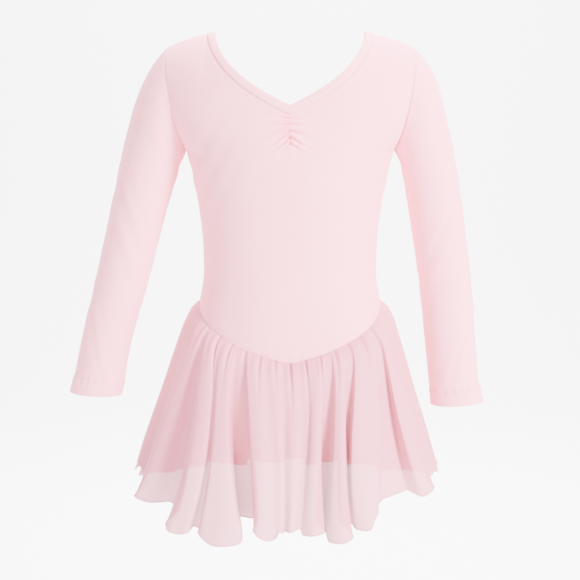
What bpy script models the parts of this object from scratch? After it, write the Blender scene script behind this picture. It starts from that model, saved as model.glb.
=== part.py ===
"""Child's long-sleeved ballet dress, worn shape with no wearer: a stretch jersey bodice with a
V neck, a scooped back and bound neck edge, two long sleeves, and a gathered chiffon skirt that
hangs in folds from a dropped, curved waist seam.

The front faces -Y, +Z is up and +X is the wearer's left. The origin is between the shoulders, on
the shoulder seams. Sizes below are in millimetres; the meshes are made in metres.
"""

import math

import bpy
import numpy as np

MM = 0.001

# Cloth and seams
JERSEY = 1.3  # wall of the bodice and sleeves
CHIFFON = 1.2  # wall of the skirt
BAND = 2.4  # wall of the folded neck binding
HEM_EXTRA = 0.9  # turned cloth inside each cuff
SEAM_GAP = 0.3  # between two pieces that are sewn together

# Shoulders, neck and armholes
SHOULDER_TIP_X = 150.5
SHOULDER_TIP_Z = -24.0
UNDERARM_X = 127.0
UNDERARM_Z = -148.0
ARMHOLE_DEPTH = 44.0  # half of the armhole, front to back
ARMHOLE_BOW = 7.0  # how far its front and back stand out past a straight seam
SHOULDER_ROLL = 90.0  # drop over which the chest rounds into the shoulder
NECK_SEAM_X = 101.0
NECK_SEAM_Z = -8.5
NECK_EDGE_X = 91.5
NECK_EDGE_Z = -5.0
FRONT_V_SEAM_Z = -104.0
FRONT_V_EDGE_Z = -92.0
BACK_SCOOP_SEAM_Z = -162.0
BACK_SCOOP_EDGE_Z = -152.0

# Waist seam and skirt
WAIST_X = 113.0
WAIST_SIDE_Z = -337.0
WAIST_FRONT_Z = -402.0
WAIST_BACK_Z = -382.0
WAIST_POINT = 1.25  # how pointed the front of the waist seam is: 1 is a V, 2 is round
SKIRT_PUFF = 12.0  # how far the gathers stand out just under the seam
SKIRT_PUFF_DROP = 12.0
SIDE_FLARE = 0.29  # outward run of the skirt for each millimetre of cloth, at the sides
FRONT_FLARE = 0.26
GATHERS = 36  # small gathers sewn into the waist seam
GATHER_HEIGHT = 2.0
GATHER_FADE = 0.34  # share of the skirt's length over which the gathers melt into the folds

ROUNDNESS = 2.2  # exponent of the body's cross-section, 2 being an ellipse

# Mesh divisions
HALF_COLUMNS = 10
SIDE_ROWS = 12
CHEST_ROWS = 4
NECK_ROWS = 10
SCOOP_START = 10  # the row of the side seam that meets the bottom of the back scoop
SLEEVE_RINGS = 12
SKIRT_COLUMNS = 160
SKIRT_LEVELS = (0.0, 0.05, 0.13, 0.24, 0.38, 0.53, 0.69, 0.85, 1.0)

JERSEY_PINK = (0.93, 0.72, 0.75, 1.0)
CHIFFON_PINK = (0.88, 0.66, 0.70, 1.0)


def table(columns, rows):
    """A dictionary of columns, from named columns and one row for each section or fold."""
    values = np.array(rows, float).T
    return dict(zip(columns.split(), values))


# Sections of the body under the bodice: half width, and depth in front of and behind the seams
BODY = table(
    "z half_width front back",
    [
        (-410, 123.0, 83, 82),
        (-370, 119.0, 83, 80),
        (-337, 113.0, 82, 77),
        (-299, 107.5, 80, 73),
        (-260, 108.5, 80, 70),
        (-224, 112.5, 82, 70),
        (-187, 118.5, 86, 73),
        (-148, 127.0, 88, 77),
        (-104, 132.0, 86, 77),
        (-10, 132.0, 84, 72),
    ],
)

# Sleeve sections, from the shoulder to the wrist. Each is an oval between an outer and an inner
# point seen from the front; centre_y and depth place it front to back.
SLEEVE_COLUMNS = "outer_x outer_z inner_x inner_z centre_y depth"
RIGHT_SLEEVE = table(
    SLEEVE_COLUMNS,
    [
        (166, -43, 128.6, -151.0, 0, 43.5),
        (179, -65, 130.6, -155.0, 0, 43.0),
        (190, -91, 132.8, -160.5, 0, 41.5),
        (199, -120, 136.5, -169.5, 1, 39.5),
        (207.5, -152, 141.5, -187.0, 2, 37.0),
        (217.5, -199, 150.5, -216.0, 3, 34.5),
        (240, -297, 176.5, -312.0, 1, 31.5),
        (262, -391, 202.0, -406.0, -7, 29.5),
        (269, -426, 207.0, -436.0, -11, 29.0),
        (275, -449, 210.5, -453.0, -14, 28.5),
    ],
)
LEFT_SLEEVE = table(
    SLEEVE_COLUMNS,
    [
        (165, -39, 128.8, -150.8, 0, 43.5),
        (176, -57, 131.2, -154.5, 0, 43.0),
        (185, -81, 133.8, -160.0, 0, 41.5),
        (193, -110, 137.0, -169.5, 1, 39.5),
        (201.5, -147, 140.6, -187.0, 2, 37.0),
        (211, -199, 145.5, -214.5, 3, 34.5),
        (225, -301, 160.5, -310.0, 1, 31.5),
        (233, -401, 171.0, -407.5, -7, 29.5),
        (237, -441, 175.0, -447.0, -11, 29.0),
        (242, -461, 176.5, -465.5, -14, 28.5),
    ],
)
CUFF_HEM_RINGS = 1  # the last rings, over the turned hem, have the thicker wall

# The skirt's folds, one row for each ridge and the valley after it, going round from the
# wearer's right side across the front, the left side and the back. Angles in degrees from the
# centre front give where the ridge and the valley start and end, halfway down and at the hem.
# ridge and valley are how far they stand out from the skirt's plain cone at the hem, and the
# drops are the heights from seam to hem.
FOLD_COLUMNS = (
    "seam_ridge seam_valley mid_from mid_to mid_valley_from mid_valley_to "
    "hem_from hem_to hem_valley_from hem_valley_to ridge valley ridge_drop valley_drop"
)
FOLDS = table(
    FOLD_COLUMNS,
    [
        (-88, -78, -88, -80, -76, -72, -91, -81, -79, -77, 9, 2, 190, 200),
        (-72, -62, -70, -62, -58, -53, -75, -65, -61, -51, 11, -18, 214, 213),
        (-56, -50, -46, -37, -36, -35, -47, -37, -36.5, -34.5, 16, 5, 228, 217),
        (-44, -34, -34, -26, -29, -19, -33, -16.5, -22, -14, 20, -22, 225, 196),
        (-24, -12, -17, -7, -5, -4, -12.5, -5, -3.5, -2.5, 15, 11, 204, 192),
        (-4, 4, -3, 5, 5.5, 8.5, -2, 2, 2.5, 3.5, 13, 7, 188, 189),
        (12, 19, 8.5, 13.5, 14.5, 19.5, 4.5, 12.5, 10.5, 14, 14, -16, 198, 193),
        (26, 33, 18.5, 24, 23.5, 28.5, 13, 21.5, 20, 24, 20, -12, 214, 203),
        (41, 52, 27, 41, 47, 59, 23, 31, 43, 58, 16, -16, 214, 197),
        (64, 74, 56, 71, 73, 78, 60, 69, 71, 76, 4, -6, 207, 205),
        (80, 90, 80, 88, 92, 97, 78, 89, 92, 95, -3, -10, 200, 212),
        (101, 111, 98, 107, 108, 116, 98, 108, 108, 118, 4, -12, 222, 226),
        (121, 132, 119, 130, 130, 138, 117, 131, 128, 139, 15, -15, 228, 217),
        (140, 148, 139, 147, 148, 153, 138, 148, 149, 154, 10, -9, 213, 206),
        (155, 166, 154, 165, 166, 172, 155, 170, 167, 173, 16, -14, 204, 198),
        (174, 181, 174, 181, 182, 186, 174, 182, 183, 187, 9, -6, 196, 197),
        (188, 200, 188, 199, 200, 207, 188, 203, 200, 207, 15, -15, 201, 203),
        (209, 218, 209, 217, 218, 224, 208, 218, 219, 225, 11, -8, 208, 215),
        (227, 238, 227, 237, 238, 244, 226, 240, 238, 246, 16, -14, 225, 228),
        (246, 255, 247, 255, 256, 261, 247, 257, 257, 261, 10, -8, 232, 226),
        (262, 268, 262, 267, 268, 270.5, 262, 266, 267, 268, 6, -4, 222, 205),
    ],
)
RIDGE_CROWN = 3.0  # how far a ridge bulges between its two edges
MID_SHARE = 0.55  # how deep a fold is halfway down, as a share of its depth at the hem


def smooth(at, stations, values):
    """Cubic curve through (stations, values). The slope at each station comes from its two
    neighbours and is held down so that the curve never overshoots between them."""
    stations = np.asarray(stations, float)
    values = np.asarray(values, float)
    slopes = np.gradient(values, stations)
    secants = np.diff(values) / np.diff(stations)
    steepest = 3 * np.minimum(np.abs(secants[:-1]), np.abs(secants[1:]))
    steepest[secants[:-1] * secants[1:] <= 0] = 0.0
    slopes[1:-1] = np.clip(slopes[1:-1], -steepest, steepest)
    at = np.clip(at, stations[0], stations[-1])
    i = np.clip(np.searchsorted(stations, at, side="right") - 1, 0, len(stations) - 2)
    step = stations[i + 1] - stations[i]
    t = (at - stations[i]) / step
    rise = values[i + 1] - values[i]
    hermite = values[i] + rise * t * t * (3 - 2 * t)
    return hermite + step * t * (1 - t) * (slopes[i] * (1 - t) - slopes[i + 1] * t)


def unit(vectors):
    return vectors / np.linalg.norm(vectors, axis=-1, keepdims=True)


# The armhole: an oval ring, bowed outward at its front and back


def armhole(angle, inset=0.0, shift=0.0):
    """Points of the armhole on the +X side. angle runs from 0 at the shoulder tip, over the
    front at 90 degrees, to 180 under the arm; inset moves them in towards the ring's middle,
    and shift moves them along the sleeve."""
    top = np.array([SHOULDER_TIP_X, 0.0, SHOULDER_TIP_Z])
    bottom = np.array([UNDERARM_X, 0.0, UNDERARM_Z])
    half = (top - bottom) / 2
    up = unit(half)
    outward = np.array([up[2], 0.0, -up[0]])
    angle = np.radians(np.asarray(angle, float))[..., None]
    ring = (top + bottom) / 2 + up * (np.linalg.norm(half) - inset) * np.cos(angle)
    ring = ring + np.array([0.0, -1.0, 0.0]) * (ARMHOLE_DEPTH - inset) * np.sin(angle)
    return ring + outward * (ARMHOLE_BOW * np.abs(np.sin(angle)) + shift)


def armhole_at(z):
    """(x, depth) of the armhole at height z."""
    middle = (SHOULDER_TIP_Z + UNDERARM_Z) / 2
    cosine = np.clip((z - middle) / (SHOULDER_TIP_Z - middle), -1, 1)
    ring = armhole(np.degrees(np.arccos(cosine)))
    return ring[..., 0], -ring[..., 1]


# The body's surface: at every height a rounded oval, closing over the shoulders


def shoulder_line(x):
    """Height of the shoulder seam at distance x from the middle."""
    run = (np.abs(x) - NECK_SEAM_X) / (SHOULDER_TIP_X - NECK_SEAM_X)
    fall = (SHOULDER_TIP_Z - NECK_SEAM_Z) * (0.35 * run + 0.65 * run**2)
    rise = (NECK_EDGE_Z - NECK_SEAM_Z) * (NECK_SEAM_X - np.abs(x)) / (NECK_SEAM_X - NECK_EDGE_X)
    return NECK_SEAM_Z + np.where(run > 0, fall, rise)


def shoulder_normal(x):
    """Unit normal of the shoulder line, looking up and outward."""
    step = 0.5
    slope = (shoulder_line(x + step) - shoulder_line(x - step)) / (2 * step)
    return unit(np.stack([-slope, slope * 0, np.ones_like(slope)], axis=-1))


def depth_at(x, z, face):
    """Depth of the body at its middle, reduced towards the shoulder seam."""
    share = np.clip((shoulder_line(x) - z) / SHOULDER_ROLL, 0, 1)
    return smooth(z, BODY["z"], BODY[face]) * np.sqrt(1 - (1 - share) ** 2)


def half_width_at(z, face):
    """Half width of the oval: the side seam below the arm, and above it the width that makes
    the oval pass through the armhole."""
    z = np.minimum(z, SHOULDER_TIP_Z - 2.0)
    x, y = armhole_at(z)
    deep = depth_at(np.minimum(x, SHOULDER_TIP_X), z, face)
    ratio = np.clip(y / deep, 0, 0.99)
    through_armhole = x / (1 - ratio**ROUNDNESS) ** (1 / ROUNDNESS)
    below = smooth(z, BODY["z"], BODY["half_width"])
    return np.where(z < UNDERARM_Z, below, through_armhole)


def surface(x, z, face):
    """Points on the body at (x, z): the front is at -Y and the back at +Y."""
    share = np.clip(np.abs(x) / half_width_at(z, face), 0, 1)
    y = depth_at(x, z, face) * (1 - share**ROUNDNESS) ** (1 / ROUNDNESS)
    return np.stack(np.broadcast_arrays(x, y if face == "back" else -y, z), axis=-1)


def oval(points, face):
    """Zero on the body, positive outside it."""
    x, y, z = points[..., 0], points[..., 1], points[..., 2]
    across = np.abs(x) / half_width_at(z, face)
    deep = np.abs(y) / np.maximum(depth_at(x, z, face), 1e-3)
    return across**ROUNDNESS + deep**ROUNDNESS


def outward(points, face):
    """Unit normals of the body, from the differences of the oval."""
    step = 0.4
    moves = np.eye(3) * step
    slope = [oval(points + m, face) - oval(points - m, face) for m in moves]
    return unit(np.stack(slope, axis=-1))


# The bodice panels


def front_neck(t, at_edge=False):
    """The V neck from the shoulder at t = 0 to the centre front at t = 1."""
    x = NECK_EDGE_X if at_edge else NECK_SEAM_X
    top = NECK_EDGE_Z if at_edge else NECK_SEAM_Z
    bottom = FRONT_V_EDGE_Z if at_edge else FRONT_V_SEAM_Z
    return x * (1 - 0.25 * t - 0.75 * t**2.4), top + (bottom - top) * t


def back_neck(t, at_edge=False):
    """The scooped back neck, from the shoulder to the centre back."""
    x = NECK_EDGE_X if at_edge else NECK_SEAM_X
    top = NECK_EDGE_Z if at_edge else NECK_SEAM_Z
    bottom = BACK_SCOOP_EDGE_Z if at_edge else BACK_SCOOP_SEAM_Z
    return x * np.sqrt(np.clip(1 - t**2.6, 0, 1)), top + (bottom - top) * t


ARM_ANGLES = np.concatenate(
    [np.linspace(180, 112, CHEST_ROWS + 1), np.linspace(112, 0, NECK_ROWS + 1)[1:]]
)
SCOOP_ROWS = SIDE_ROWS - SCOOP_START + CHEST_ROWS + NECK_ROWS


def even_neck(neck, face, rows):
    """Values of t, from the centre to the shoulder, that cut the neck seam in equal lengths."""
    t = (1 + np.cos(np.linspace(0, math.pi, 2001))) / 2
    steps = np.linalg.norm(np.diff(surface(*neck(t), face), axis=0), axis=1)
    along = np.concatenate([[0], np.cumsum(steps)])
    return np.interp(np.linspace(0, along[-1], rows + 1), along, t)


FRONT_NECK_T = even_neck(front_neck, "front", NECK_ROWS)
BACK_NECK_T = even_neck(back_neck, "back", SCOOP_ROWS)


def outer_stations():
    """(x, z) up the side seam and round the front of the armhole."""
    z = np.linspace(WAIST_SIDE_Z, UNDERARM_Z, SIDE_ROWS + 1)[:-1]
    x = half_width_at(z, "front")
    ring = armhole(ARM_ANGLES)
    return np.concatenate([x, ring[:, 0]]), np.concatenate([z, ring[:, 2]])


def inner_stations(face):
    """(x, z) up the centre line and along the neck seam."""
    if face == "front":
        side = np.linspace(WAIST_FRONT_Z, UNDERARM_Z, SIDE_ROWS + 1)
        chest = np.linspace(UNDERARM_Z, FRONT_V_SEAM_Z, CHEST_ROWS + 1)[1:]
        centre = np.concatenate([side, chest])
        x, z = front_neck(FRONT_NECK_T)
    else:
        centre = np.linspace(WAIST_BACK_Z, BACK_SCOOP_SEAM_Z, SCOOP_START + 1)
        x, z = back_neck(BACK_NECK_T)
    return np.concatenate([centre * 0, x[1:]]), np.concatenate([centre, z[1:]])


def bodice_half(face):
    """(outer, inner) grids of one half panel, with a row for each station and columns from the
    centre or neck seam to the side seam or armhole."""
    side_x, side_z = outer_stations()
    centre_x, centre_z = inner_stations(face)
    rows = len(side_x)
    s = np.linspace(0, 1, HALF_COLUMNS + 1)[None, :] ** 1.15
    rise = np.clip((np.arange(rows) - SIDE_ROWS) / CHEST_ROWS, 0, 1)[:, None]
    across = (1 - rise) * np.sin(s * math.pi / 2) + rise * s
    x = centre_x[:, None] + (side_x - centre_x)[:, None] * across
    low = s**WAIST_POINT if face == "front" else across**2
    bend = rise * (0.35 * across + 0.65 * across**2) + (1 - rise) * low
    z = centre_z[:, None] + (side_z - centre_z)[:, None] * bend
    outer = surface(x, z, face)
    normal = outward(outer, face)
    normal[-1] = shoulder_normal(x[-1])
    normal[0, :, 2] = 0.0
    normal = unit(normal)
    inner = outer - JERSEY * normal
    front_or_back = -1.0 if face == "front" else 1.0
    flip = np.array([1.0, -front_or_back, 1.0])
    gap = SEAM_GAP / 2
    outer[SIDE_ROWS:, -1] = armhole(ARM_ANGLES, 0, -gap) * flip
    inner[SIDE_ROWS:, -1] = armhole(ARM_ANGLES, JERSEY, -gap) * flip
    for grid in (outer, inner):
        grid[: SIDE_ROWS + 1, -1, 1] = front_or_back * gap
        grid[-1, :, 1] = front_or_back * gap
        grid[0, :, 2] += gap
    return outer, inner


def mirrored(grid):
    return grid * np.array([-1.0, 1.0, 1.0])


def add_wall(name, patches, material):
    """One closed wall from (outer, inner) grids, whose shared points are joined. Its rim closes
    every edge that only one face uses."""
    points, inside, faces = [], [], []
    found = {}
    for outer, inner in patches:
        rows, columns = outer.shape[:2]
        index = np.empty((rows, columns), int)
        for place in np.ndindex(rows, columns):
            key = tuple(np.round(outer[place], 4))
            if key not in found:
                found[key] = len(points)
                points.append(outer[place])
                inside.append(inner[place])
            index[place] = found[key]
        a, b = index[:-1, :-1].ravel(), index[:-1, 1:].ravel()
        c, d = index[1:, 1:].ravel(), index[1:, :-1].ravel()
        quads = np.stack([a, b, c, d], axis=1)
        faces += [q if is_outward(points, q, inside) else q[::-1] for q in quads]
    count = len(points)
    edges = {}
    for face in faces:
        for a, b in zip(face, np.roll(face, -1)):
            edges[(a, b)] = edges.get((a, b), 0) + 1
    rim = [(b, a, a + count, b + count) for a, b in edges if (b, a) not in edges]
    back = [tuple(f[::-1] + count) for f in faces]
    mesh = bpy.data.meshes.new(name)
    vertices = np.array(points + inside) * MM
    mesh.from_pydata(vertices.tolist(), [], [tuple(f) for f in faces] + back + rim)
    mesh.validate()
    mesh.materials.append(material)
    mesh.shade_smooth()
    mesh.set_sharp_from_angle(angle=math.radians(50))
    obj = bpy.data.objects.new(name, mesh)
    bpy.context.scene.collection.objects.link(obj)
    return obj


def is_outward(points, quad, inside):
    """Whether a face's corners turn so that it looks away from the inner wall."""
    a, b, c, d = (points[i] for i in quad)
    normal = np.cross(c - a, d - b)
    return normal @ (sum(points[i] - inside[i] for i in quad)) > 0


def make_bodice(face, material):
    outer, inner = bodice_half(face)
    halves = [(outer, inner), (mirrored(outer), mirrored(inner))]
    return add_wall(f"bodice_{face}", halves, material)


# Neck binding: a folded band along the neck seam, lying on the body's surface


def binding(face):
    """(outer, inner) grids of half of the binding, from the seam to the free edge."""
    neck = front_neck if face == "front" else back_neck
    stations = FRONT_NECK_T if face == "front" else BACK_NECK_T
    seam_x, seam_z = neck(stations)
    edge_x, edge_z = neck(stations, at_edge=True)
    share = np.array([0.0, 0.5, 1.0])[None, :]
    x = seam_x[:, None] + (edge_x - seam_x)[:, None] * share
    z = seam_z[:, None] + (edge_z - seam_z)[:, None] * share
    face_points = surface(x, z, face)
    across = unit(face_points[:, -1:] - face_points[:, :1])
    normal = outward(face_points, face)
    normal[-1] = shoulder_normal(x[-1])
    fold = np.array([0.0, 1.0, 1.0])[None, :, None]
    outer = face_points + normal * (BAND - JERSEY) / 2 * fold + across * SEAM_GAP
    inner = outer - normal * (JERSEY + (BAND - JERSEY) * fold)
    side = -1.0 if face == "front" else 1.0
    for grid in (outer, inner):
        grid[-1, :, 1] = side * SEAM_GAP / 2
        if face == "front":
            grid[0, :, 0] = SEAM_GAP / 2
        else:
            grid[0, :, 0] = 0.0
    return outer, inner


def make_binding(material):
    outer, inner = binding("front")
    add_wall("neck_binding_left", [(outer, inner)], material)
    add_wall("neck_binding_right", [(mirrored(outer), mirrored(inner))], material)
    outer, inner = binding("back")
    halves = [(outer, inner), (mirrored(outer), mirrored(inner))]
    add_wall("neck_binding_back", halves, material)


# Sleeves


def sleeve_rings(sections):
    """The table's sections, with the armhole before them, spread evenly down the sleeve."""
    first = (SHOULDER_TIP_X, SHOULDER_TIP_Z, UNDERARM_X, UNDERARM_Z, 0.0, ARMHOLE_DEPTH)
    names = SLEEVE_COLUMNS.split()
    rows = np.vstack([first, np.stack([sections[n] for n in names], axis=1)])
    centres = np.stack([rows[:, 0] + rows[:, 2], rows[:, 1] + rows[:, 3]], axis=1) / 2
    steps = np.linalg.norm(np.diff(centres, axis=0), axis=1)
    along = np.concatenate([[0], np.cumsum(steps)])
    hem_start = along[-2]
    even = np.linspace(0, 1, SLEEVE_RINGS) ** 1.25 * hem_start
    stations = np.append(even, along[-1])
    return stations, np.stack([smooth(stations, along, c) for c in rows.T], axis=1)


def make_sleeve(name, sections, side, material):
    """A tube from the armhole to the cuff, in the same divisions round it as the armhole."""
    angles = np.concatenate([ARM_ANGLES, -ARM_ANGLES[-2::-1]])
    cosine = np.cos(np.radians(angles))[:, None]
    sine = np.sin(np.radians(angles))[:, None]
    outer, inner = [], []
    stations, rings = sleeve_rings(sections)
    fade = np.exp(-((stations / 45.0) ** 2))
    for number, (ox, oz, ix, iz, centre_y, depth) in enumerate(rings):
        top, bottom = np.array([ox, centre_y, oz]), np.array([ix, centre_y, iz])
        half = (top - bottom) / 2
        up = unit(half)
        along = np.array([up[2], 0.0, -up[0]])
        hem = HEM_EXTRA if number >= len(rings) - 1 - CUFF_HEM_RINGS else 0.0
        for grid, inset in ((outer, 0.0), (inner, JERSEY + hem)):
            ring = (top + bottom) / 2 + up * (np.linalg.norm(half) - inset) * cosine
            ring = ring + np.array([0.0, -1.0, 0.0]) * (depth - inset) * sine
            bow = ARMHOLE_BOW * fade[number] * np.abs(sine)
            shift = SEAM_GAP / 2 if number == 0 else 0.0
            grid.append(ring + along * (bow + shift))
    turn = np.array([side, 1.0, 1.0])
    return add_wall(name, [(np.array(outer) * turn, np.array(inner) * turn)], material)


# Skirt


def waist_seam(angle):
    """The waist seam at an angle from the centre front: low in front, high at the sides."""
    angle = np.asarray(angle, float)
    sine = np.sin(np.radians(angle))
    x = WAIST_X * sine
    in_front = np.cos(np.radians(angle)) > 1e-9
    climb = np.abs(angle / 90) ** WAIST_POINT
    front_z = WAIST_FRONT_Z + (WAIST_SIDE_Z - WAIST_FRONT_Z) * np.minimum(climb, 1)
    back_z = WAIST_BACK_Z + (WAIST_SIDE_Z - WAIST_BACK_Z) * sine**2
    front, back = surface(x, front_z, "front"), surface(x, back_z, "back")
    return np.where(in_front[..., None], front, back)


def seam_polyline(points):
    """The seam's points moved onto the straight stretches between the bodice's own points."""
    moved = points.copy()
    for face, rows in (("front", points[:, 1] < 0), ("back", points[:, 1] >= 0)):
        outer, _ = bodice_half(face)
        edge = np.vstack([mirrored(outer[0])[::-1], outer[0][1:]])
        for axis in (1, 2):
            moved[rows, axis] = np.interp(points[rows, 0], edge[:, 0], edge[:, axis])
    moved[:, 2] -= SEAM_GAP
    return moved


def fold_keys():
    """Seven named values at each key point round the skirt. Every fold gives five keys: its
    ridge's start, crown and end, and its valley's start and end."""
    keys = []
    starts = FOLDS["seam_ridge"]
    ends = FOLDS["seam_valley"]
    following = np.append(starts[1:], starts[0] + 360)
    fold_rows = zip(*(FOLDS[n] for n in FOLD_COLUMNS.split()), following)
    for row in fold_rows:
        (start, end, mid_a, mid_b, mid_c, mid_d, hem_a, hem_b, hem_c, hem_d) = row[:10]
        ridge, valley, ridge_drop, valley_drop, after = row[10:]
        edge_drop = 0.7 * ridge_drop + 0.3 * valley_drop
        width = end - start
        room = after - end
        crown = ridge + RIDGE_CROWN
        keys += [
            (start, mid_a, hem_a, ridge * 0.75, edge_drop),
            (start + 0.5 * width, (mid_a + mid_b) / 2, (hem_a + hem_b) / 2, crown, ridge_drop),
            (end, mid_b, hem_b, ridge * 0.75, edge_drop),
            (end + 0.30 * room, mid_c, hem_c, valley, valley_drop),
            (end + 0.70 * room, mid_d, hem_d, valley, valley_drop),
        ]
    return np.array(keys)


def hem_plan(angle, out):
    """(x, y) of the hem's plain cone at an angle, moved out."""
    flare = SKIRT_PUFF + SIDE_FLARE * 210.0
    forward = SKIRT_PUFF + FRONT_FLARE * 210.0
    turn = np.radians(angle)
    x = (WAIST_X + flare + out) * np.sin(turn)
    return x, -(82.0 + forward + out) * np.cos(turn)


def cloth_columns():
    """For each column of cloth: its angle at the seam, halfway and at the hem, its fold depth
    and its drop. The spacing is a compromise between even steps along the seam and along the
    hem. The first column is the right side seam; the second value is the left one's number."""
    keys = fold_keys()
    x, y = hem_plan(keys[:, 2], keys[:, 3])
    x, y = np.append(x, x[0]), np.append(y, y[0])
    along = np.concatenate([[0], np.cumsum(np.hypot(np.diff(x), np.diff(y)))])
    around = along[-1]
    turn = np.array([360.0, 360.0, 360.0, 0.0, 0.0])
    values = np.vstack([keys - turn, keys, keys + turn])
    wide = np.concatenate([along[:-1] - around, along[:-1], along[:-1] + around])
    right, left = (np.interp(side, values[:, 0], wide) for side in (-90, 90))
    share = values[:, 0] / 360 + wide / around
    right_share, left_share = (np.interp(side, wide, share) for side in (right, left))
    in_front = round(SKIRT_COLUMNS * (left_share - right_share) / 2)
    front = np.linspace(right_share, left_share, in_front + 1)
    back = np.linspace(left_share, right_share + 2, SKIRT_COLUMNS - in_front + 1)
    stations = np.interp(np.concatenate([front, back[1:-1]]), share, wide)
    columns = np.stack([smooth(stations, wide, v) for v in values.T], axis=1)
    columns[0, 0], columns[in_front, 0] = -90.0, 90.0
    return columns, in_front


def skirt_points(column, level):
    """Outer points of the skirt at one level, from the waist seam at 0 to the hem at 1."""
    seam_deg, mid_deg, hem_deg, out, drop = column.T
    to_mid = seam_deg + (4 * mid_deg - hem_deg - 3 * seam_deg) * level
    angle = to_mid + (2 * hem_deg + 2 * seam_deg - 4 * mid_deg) * level**2
    mid_out, hem_out = MID_SHARE * out, out
    depth = (4 * mid_out - hem_out) * level + (2 * hem_out - 4 * mid_out) * level**2
    length = drop * level
    puff = SKIRT_PUFF * (1 - np.exp(-length / SKIRT_PUFF_DROP))
    fade = np.clip(1 - level / GATHER_FADE, 0, 1) ** 1.5
    swell = 0.35 + 0.65 * min(level / 0.05, 1)
    gather = GATHER_HEIGHT * fade * swell * np.cos(np.radians(seam_deg) * GATHERS)
    seam = waist_seam(seam_deg)
    turn = np.radians(angle)
    seam_turn = np.radians(seam_deg)
    drift_x = WAIST_X * (np.sin(turn) - np.sin(seam_turn))
    drift_y = -82.0 * (np.cos(turn) - np.cos(seam_turn))
    out_x = puff + SIDE_FLARE * length + depth + gather
    out_y = puff + FRONT_FLARE * length + depth + gather
    x = seam[:, 0] + drift_x + out_x * np.sin(turn)
    y = seam[:, 1] + drift_y - out_y * np.cos(turn)
    z = seam[:, 2] - length * (1 - 0.3 * np.exp(-length / SKIRT_PUFF_DROP))
    return np.stack([x, y, z], axis=-1)


def around_difference(grid):
    """Central differences of a grid of points whose columns close round the skirt."""
    return (np.roll(grid, -1, axis=1) - np.roll(grid, 1, axis=1)) / 2


def make_skirt(material):
    """The whole skirt as one ring of columns, cut at the side seams into front and back."""
    column, left_seam = cloth_columns()
    outer = np.array([skirt_points(column, level) for level in SKIRT_LEVELS])
    seam = waist_seam(column[:, 0])
    outer[0] = seam_polyline(seam)
    tangent = around_difference(outer)
    normal = unit(np.cross(np.gradient(outer, axis=0), tangent))
    for face, rows in (("front", seam[:, 1] < 0), ("back", seam[:, 1] >= 0)):
        normal[0, rows] = outward(seam[rows], face)
    normal[0, :, 2] = 0.0
    normal = unit(normal)
    inner = outer - normal * CHIFFON
    tangent = unit(tangent)
    front = np.arange(0, left_seam + 1)
    back = np.append(np.arange(left_seam, len(column)), 0)
    for name, columns in (("skirt_front", front), ("skirt_back", back)):
        pair = []
        for grid in (outer, inner):
            panel = grid[:, columns].copy()
            panel[:, 0] += tangent[:, columns[0]] * SEAM_GAP / 2
            panel[:, -1] -= tangent[:, columns[-1]] * SEAM_GAP / 2
            pair.append(panel)
        add_wall(name, [tuple(pair)], material)


def cloth_material(name, colour, roughness):
    material = bpy.data.materials.new(name)
    material.use_nodes = True
    shader = material.node_tree.nodes["Principled BSDF"]
    shader.inputs["Base Color"].default_value = colour
    shader.inputs["Roughness"].default_value = roughness
    shader.inputs["Metallic"].default_value = 0.0
    return material


def main():
    for obj in list(bpy.data.objects):
        bpy.data.objects.remove(obj)
    jersey = cloth_material("jersey", JERSEY_PINK, 0.8)
    band = cloth_material("binding", JERSEY_PINK, 0.75)
    chiffon = cloth_material("chiffon", CHIFFON_PINK, 0.6)
    make_bodice("front", jersey)
    make_bodice("back", jersey)
    make_binding(band)
    make_sleeve("sleeve_right", RIGHT_SLEEVE, -1.0, jersey)
    make_sleeve("sleeve_left", LEFT_SLEEVE, 1.0, jersey)
    make_skirt(chiffon)


main()
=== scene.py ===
# %% [markdown]
# # A child's ballet dress
#
# The dress is worn-shaped but empty: a stretch jersey bodice with a bound V neck and a scooped
# back, two long sleeves, and a gathered chiffon skirt on a dropped, curved waist seam. The
# rigid frame of the part gives the place of every piece. Here each rigid wall is replaced by a
# thin sheet of cloth with its creases, seams, stitches, weave and sheen.
#
# Sizes are in millimetres until a mesh is made, and the mesh is in metres.

# %% Load the frame
import math

import bpy
import numpy as np
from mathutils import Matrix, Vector


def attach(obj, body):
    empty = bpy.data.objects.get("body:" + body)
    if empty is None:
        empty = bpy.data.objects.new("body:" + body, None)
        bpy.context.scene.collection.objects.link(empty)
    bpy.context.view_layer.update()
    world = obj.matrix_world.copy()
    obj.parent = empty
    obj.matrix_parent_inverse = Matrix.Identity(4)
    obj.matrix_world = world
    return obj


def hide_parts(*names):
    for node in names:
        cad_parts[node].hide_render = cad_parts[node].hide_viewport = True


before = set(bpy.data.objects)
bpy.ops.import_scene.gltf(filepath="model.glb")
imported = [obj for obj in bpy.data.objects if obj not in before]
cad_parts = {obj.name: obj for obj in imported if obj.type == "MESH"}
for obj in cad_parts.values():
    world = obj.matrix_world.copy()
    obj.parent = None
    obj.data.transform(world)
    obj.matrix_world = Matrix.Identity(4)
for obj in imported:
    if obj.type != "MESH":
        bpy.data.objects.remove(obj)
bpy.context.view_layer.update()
MM = 0.001
print("nodes", sorted(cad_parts))

# %% [markdown]
# ## Curves and tables
#
# The outlines of the dress are known only at a few heights. Two ways to fill in between are a
# spline fitted through all the rows at once, which can overshoot, and a cubic from each pair of
# rows with its slopes held down, which can't. The second is used, because a sleeve or a fold
# that overshoots would leave the part's own shape.


# %% Curves and tables
def table(columns, rows):
    """A dictionary of columns, from their names and one row for each section or fold."""
    return dict(zip(columns.split(), np.array(rows, float).T))


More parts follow.
